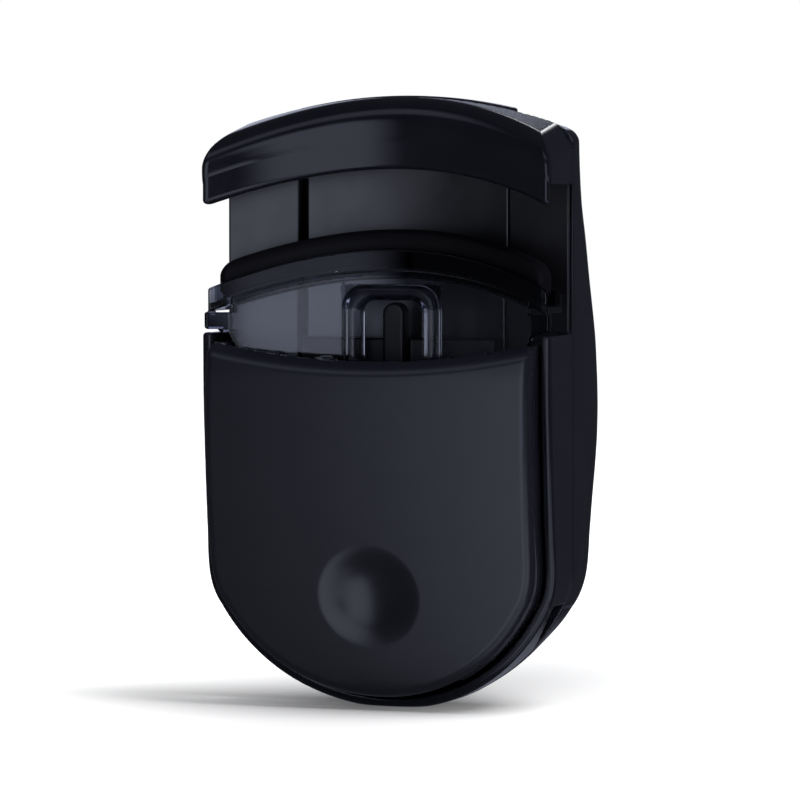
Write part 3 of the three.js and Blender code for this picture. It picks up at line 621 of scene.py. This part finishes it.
# ------------------------------------------------------- turned and coiled parts
def mesh_object(name, verts, faces, body, nodes, material):
    me = bpy.data.meshes.new(name)
    me.from_pydata([(v[0] * MM, (v[1] + SHIFT_Y) * MM, v[2] * MM) for v in verts], [], faces)
    bm = bmesh.new(); bm.from_mesh(me); bmesh.ops.recalc_face_normals(bm, faces=bm.faces); bm.to_mesh(me); bm.free()
    me.polygons.foreach_set("use_smooth", np.ones(len(me.polygons), bool))
    o = bpy.data.objects.new(name, me); bpy.context.scene.collection.objects.link(o)
    me.materials.append(material)
    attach(o, body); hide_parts(*nodes)
    return o


def turned(profile, place, n=48):
    """profile: (radius, along) from axis to axis; place maps (a, b, along) to x, y, z."""
    verts, faces, rings = [], [], []
    for r, s in profile:
        if r < 1e-6:
            verts.append(place(0, 0, s)); rings.append([len(verts) - 1])
        else:
            ring = []
            for i in range(n):
                t = 2 * math.pi * i / n
                verts.append(place(r * math.cos(t), r * math.sin(t), s)); ring.append(len(verts) - 1)
            rings.append(ring)
    for a, b in zip(rings, rings[1:]):
        for i in range(n):
            p = [a[i % len(a)], a[(i + 1) % len(a)], b[(i + 1) % len(b)], b[i % len(b)]]
            q = []
            for v in p:
                if v not in q:
                    q.append(v)
            if len(q) >= 3:
                faces.append(q)
    return verts, faces


def rounded_rod(r, lo, hi, e=0.2):
    prof = [(0, lo)]
    for i in range(6):
        t = i / 5 * math.pi / 2
        prof.append((r - e + e * math.sin(t), lo + e - e * math.cos(t)))
    for i in range(6):
        t = i / 5 * math.pi / 2
        prof.append((r - e + e * math.cos(t), hi - e + e * math.sin(t)))
    prof.append((0, hi))
    return prof


for side, sx in (("left", -1), ("right", 1)):
    x0 = sx * ROD_X
    v, f = turned(rounded_rod(0.7, 14.2, 36.9), lambda a, b, s, x0=x0: (x0 + a, ROD_Y + b, s))
    mesh_object(f"guide_rod_{side}_fine", v, f, "body", [f"guide_rod_{side}"], STEEL)
    v, f = turned(rounded_rod(0.8, 13.3, 17.0), lambda a, b, s, sx=sx: (sx * s, PIVOT_Y + a, PIVOT_Z + b))
    mesh_object(f"hinge_pin_{side}_fine", v, f, "body", [f"hinge_pin_{side}"], STEEL)
    # retaining clip: an open ring
    vv, ff, n = [], [], 40
    sec = [(0.86, 35.8), (1.56, 35.8), (1.6, 35.85), (1.6, 36.25), (1.56, 36.3), (0.86, 36.3), (0.82, 36.25), (0.82, 35.85)]
    for i in range(n + 1):
        t = math.radians(-90 + 24) + math.radians(360 - 48) * i / n
        for r, z in sec:
            vv.append((x0 + r * math.cos(t), ROD_Y + r * math.sin(t), z))
    k = len(sec)
    for i in range(n):
        for j in range(k):
            ff.append([i * k + j, i * k + (j + 1) % k, (i + 1) * k + (j + 1) % k, (i + 1) * k + j])
    ff.append(list(range(k))[::-1]); ff.append([n * k + j for j in range(k)])
    mesh_object(f"rod_clip_{side}_fine", vv, ff, "body", [f"rod_clip_{side}"], STEEL)
    # return spring with closed end turns
    turns, steps, m, wire, rad = 7.0, 260, 12, 0.25, 1.55
    z0, z1 = 19.3 + 0.3 + wire, 34.0 - 0.3 - wire
    vv, ff = [], []
    for i in range(steps + 1):
        t = i / steps
        e = 0.12
        u = (t * t / (2 * e) if t < e else (t - e / 2 if t < 1 - e else (1 - e) - e / 2 + (e - (1 - t) ** 2 / e + 0) / 2 + 0)) / (1 - e)
        u = min(max(u, 0), 1)
        a = turns * 2 * math.pi * t
        c = Vector((rad * math.cos(a), rad * math.sin(a), z0 + (z1 - z0) * u))
        out = Vector((math.cos(a), math.sin(a), 0)); up = Vector((0, 0, 1))
        for j in range(m):
            b = 2 * math.pi * j / m
            p = c + out * (wire * math.cos(b)) + up * (wire * math.sin(b))
            vv.append((x0 + p.x, ROD_Y + p.y, p.z))
    for i in range(steps):
        for j in range(m):
            ff.append([i * m + j, i * m + (j + 1) % m, (i + 1) * m + (j + 1) % m, (i + 1) * m + j])
    ff.append(list(range(m))[::-1]); ff.append([steps * m + j for j in range(m)])
    s = mesh_object(f"return_spring_{side}_fine", vv, ff, "body", [f"return_spring_{side}"], STEEL)
    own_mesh(s)

for i, (sx, sz) in enumerate([(-12.6, 26.5), (12.6, 26.5), (-12.6, 17.8), (12.6, 17.8)]):
    seat = 10.6 - (12.6 - CHANNEL_X) * 1.5 / 5.2 - 0.62

    def screw_field(x, y, z, sx=sx, sz=sz, seat=seat):
        r = np.hypot(x - sx, z - sz)
        head = rmax(r - 1.2, np.abs(y - (seat - 0.4)) - 0.4, 0.18)
        arms = np.minimum(np.maximum(np.abs(x - sx) - 0.15, np.abs(z - sz) - 0.7), np.maximum(np.abs(x - sx) - 0.7, np.abs(z - sz) - 0.15))
        head = cut(head, np.maximum(arms, y - (seat - 0.35)), 0.05)
        ang = np.arctan2(z - sz, x - sx)
        thread = 0.06 * np.cos(2 * np.pi * (y / 0.45) - ang)
        shank = rmax(r - 0.46 - thread, y - 14.2, 0.15)
        shank = np.maximum(shank * 0.8, seat - 0.1 - y)
        return np.minimum(head, shank)
    solid(f"screw_{i + 1}_fine", screw_field, (sx - 1.4, seat - 1.0, sz - 1.4), (sx + 1.4, 14.5, sz + 1.4), 0.09, "body", [f"cover_screw_{i + 1}"], STEEL, 0.6)

# ------------------------------------------------------------ stage and camera
def stage_mesh(name, pts, faces, material):
    me = bpy.data.meshes.new(name); me.from_pydata(pts, [], faces)
    me.polygons.foreach_set("use_smooth", np.ones(len(me.polygons), bool)); me.update()
    o = bpy.data.objects.new(name, me); bpy.context.scene.collection.objects.link(o)
    me.materials.append(material)
    o.visible_glossy = o.visible_transmission = False
    return o


# white table, lit by the key; its glow is painted dim round the object's base as a painted soft shadow and rises to
# near white further out
fm, fnt, fb, ftc = new_material("studio_table")
fb.inputs["Base Color"].default_value = (0.88, 0.88, 0.885, 1); fb.inputs["Roughness"].default_value = 0.9
fb.inputs["Specular IOR Level"].default_value = 0.0
length = fnt.nodes.new("ShaderNodeVectorMath"); length.operation = "LENGTH"
painted_shadow_squeeze = fnt.nodes.new("ShaderNodeVectorMath"); painted_shadow_squeeze.operation = "MULTIPLY_ADD"
painted_shadow_squeeze.inputs[1].default_value = (1.0, 0.5, 1.0); painted_shadow_squeeze.inputs[2].default_value = (0.002, -0.006, 0.0)
fnt.links.new(ftc.outputs["Object"], painted_shadow_squeeze.inputs[0])
fnt.links.new(painted_shadow_squeeze.outputs["Vector"], length.inputs[0])
fb.inputs["Emission Color"].default_value = (1, 1, 1, 1)
# painted shadow: glow 0.04 at the base rising to 0.97 by 40 mm out, stretched in depth and centred a little behind and
# left of the object
fnt.links.new(ramp(fnt, length.outputs["Value"], 0.004, 0.040, 0.04, 0.97), fb.inputs["Emission Strength"])
ring = [[(r * math.cos(2 * math.pi * i / 64), r * math.sin(2 * math.pi * i / 64), 0.0) for i in range(64)] for r in (0.4, 3.0)]
stage_mesh("studio_table", [(0.0, 0.0, 0.0)] + ring[0] + ring[1],
           [[0, 1 + i, 1 + (i + 1) % 64] for i in range(64)] + [[1 + i, 65 + i, 65 + (i + 1) % 64, 1 + (i + 1) % 64] for i in range(64)], fm)

# pale surround: a dome that only shows behind the object
dm, dnt, db, dtc = new_material("studio_surround")
db.inputs["Base Color"].default_value = (0, 0, 0, 1); db.inputs["Specular IOR Level"].default_value = 0.0
db.inputs["Emission Color"].default_value = (1, 1, 1, 1); db.inputs["Emission Strength"].default_value = 1.0
R = 2.95
pts = [(R * math.cos(e) * math.cos(a), R * math.cos(e) * math.sin(a), R * math.sin(e) - 0.001)
       for e in np.linspace(0, 1.45, 12) for a in np.linspace(0, 2 * math.pi, 48, endpoint=False)] + [(0, 0, R)]
fcs = [[i * 48 + (j + 1) % 48, i * 48 + j, (i + 1) * 48 + j, (i + 1) * 48 + (j + 1) % 48] for i in range(11) for j in range(48)]
fcs += [[11 * 48 + (j + 1) % 48, 11 * 48 + j, 12 * 48] for j in range(48)]
dome = stage_mesh("studio_surround", pts, fcs, dm)
dome.visible_diffuse = dome.visible_shadow = False

AZ, EL, DIST = math.radians(20), math.radians(2.5), 0.50
right = Vector((math.cos(AZ), math.sin(AZ), 0))
target = Vector((0.0, 0.0, 0.0307)) + right * 0.00024
cam = bpy.data.cameras.new("camera"); cam.sensor_width = 36; cam.lens = 224.5
cam.clip_start = 0.01; cam.clip_end = 20
co = bpy.data.objects.new("camera", cam); bpy.context.scene.collection.objects.link(co)
co.location = target + Vector((math.sin(AZ) * math.cos(EL), -math.cos(AZ) * math.cos(EL), math.sin(EL))) * DIST
co.rotation_euler = (target - co.location).to_track_quat("-Z", "Y").to_euler()
bpy.context.scene.camera = co


def softbox(name, az, el, dist, size, radiance, look=(0, 0, 0.03), color=(1, 1, 1)):
    """Area light placed by azimuth (0 = lever side, + = right), elevation and distance."""
    l = bpy.data.lights.new(name, "AREA"); l.shape = "RECTANGLE"; l.size, l.size_y = size
    l.energy = radiance * math.pi * size[0] * size[1]; l.color = color
    o = bpy.data.objects.new(name, l); bpy.context.scene.collection.objects.link(o)
    a, e = math.radians(az), math.radians(el)
    o.location = Vector(look) + Vector((math.sin(a) * math.cos(e), -math.cos(a) * math.cos(e), math.sin(e))) * dist
    o.rotation_euler = (Vector(look) - o.location).to_track_quat("-Z", "Y").to_euler()
    o.visible_camera = False
    return o


def card(name, az, el, soft, radiance, color, dist=0.6):
    """Glowing card seen only in reflections: az and el ranges in degrees, faded at its edges."""
    na, ne = 40, 32
    A = np.linspace(az[0], az[1], na + 1); E = np.linspace(el[0], el[1], ne + 1)

    def fade(v, lo, hi, w0, w1):
        a = np.clip((v - lo) / max(w0, 1e-3), 0, 1); b = np.clip((hi - v) / max(w1, 1e-3), 0, 1)
        return (a * a * (3 - 2 * a)) * (b * b * (3 - 2 * b))
    glow = np.outer(fade(A, az[0], az[1], soft[0], soft[1]), fade(E, el[0], el[1], soft[2], soft[3])) * radiance
    a, e = np.meshgrid(np.radians(A), np.radians(E), indexing="ij")
    pts = np.stack([np.sin(a) * np.cos(e), -np.cos(a) * np.cos(e), np.sin(e)], -1).reshape(-1, 3) * dist + np.array([0, 0, 0.03])
    k = ne + 1
    fc = [[i * k + j, (i + 1) * k + j, (i + 1) * k + j + 1, i * k + j + 1] for i in range(na) for j in range(ne)]
    m, nt, b, tc = new_material(name)
    b.inputs["Base Color"].default_value = (0, 0, 0, 1); b.inputs["Specular IOR Level"].default_value = 0.0
    b.inputs["Emission Color"].default_value = (*color, 1)
    at = nt.nodes.new("ShaderNodeAttribute"); at.attribute_name = "glow"
    nt.links.new(at.outputs["Fac"], b.inputs["Emission Strength"])
    m.cycles.emission_sampling = "NONE"
    o = stage_mesh(name, pts.tolist(), fc, m)
    o.data.attributes.new("glow", "FLOAT", "POINT").data.foreach_set("value", glow.astype(f32).ravel())
    o.visible_glossy = o.visible_transmission = True
    o.visible_camera = o.visible_diffuse = o.visible_shadow = o.visible_volume_scatter = False
    return o


BLUE = (0.74, 0.79, 1.0)
key = softbox("key", 82, 57, 0.8, (0.46, 0.46), 8.6)
key.visible_glossy = key.visible_transmission = False
card("front_card", (-27, 36), (-58, 34), (22, 14, 12, 14), 1.15, BLUE)
card("top_card", (-75, 60), (40, 66), (30, 25, 9, 9), 0.6, BLUE)
card("low_side_card", (16, 80), (-64, -7), (14, 18, 14, 9), 1.15, BLUE)
card("back_card", (184, 222), (-1, 40), (8, 8, 3, 12), 0.7, BLUE)
card("corner_card", (177, 199), (26, 46), (8, 8, 8, 8), 6.5, (0.95, 0.97, 1.0))
card("low_back_card", (172, 215), (-34, -8), (8, 8, 8, 8), 0.25, BLUE)
card("low_right_card", (5, 115), (-78, -40), (20, 20, 10, 10), 0.8, BLUE)

world = bpy.data.worlds.new("world"); bpy.context.scene.world = world; world.use_nodes = True
world.node_tree.nodes["Background"].inputs[0].default_value = (0.75, 0.82, 1.0, 1)
world.node_tree.nodes["Background"].inputs[1].default_value = 0.05
bpy.context.scene.view_settings.view_transform = "Standard"
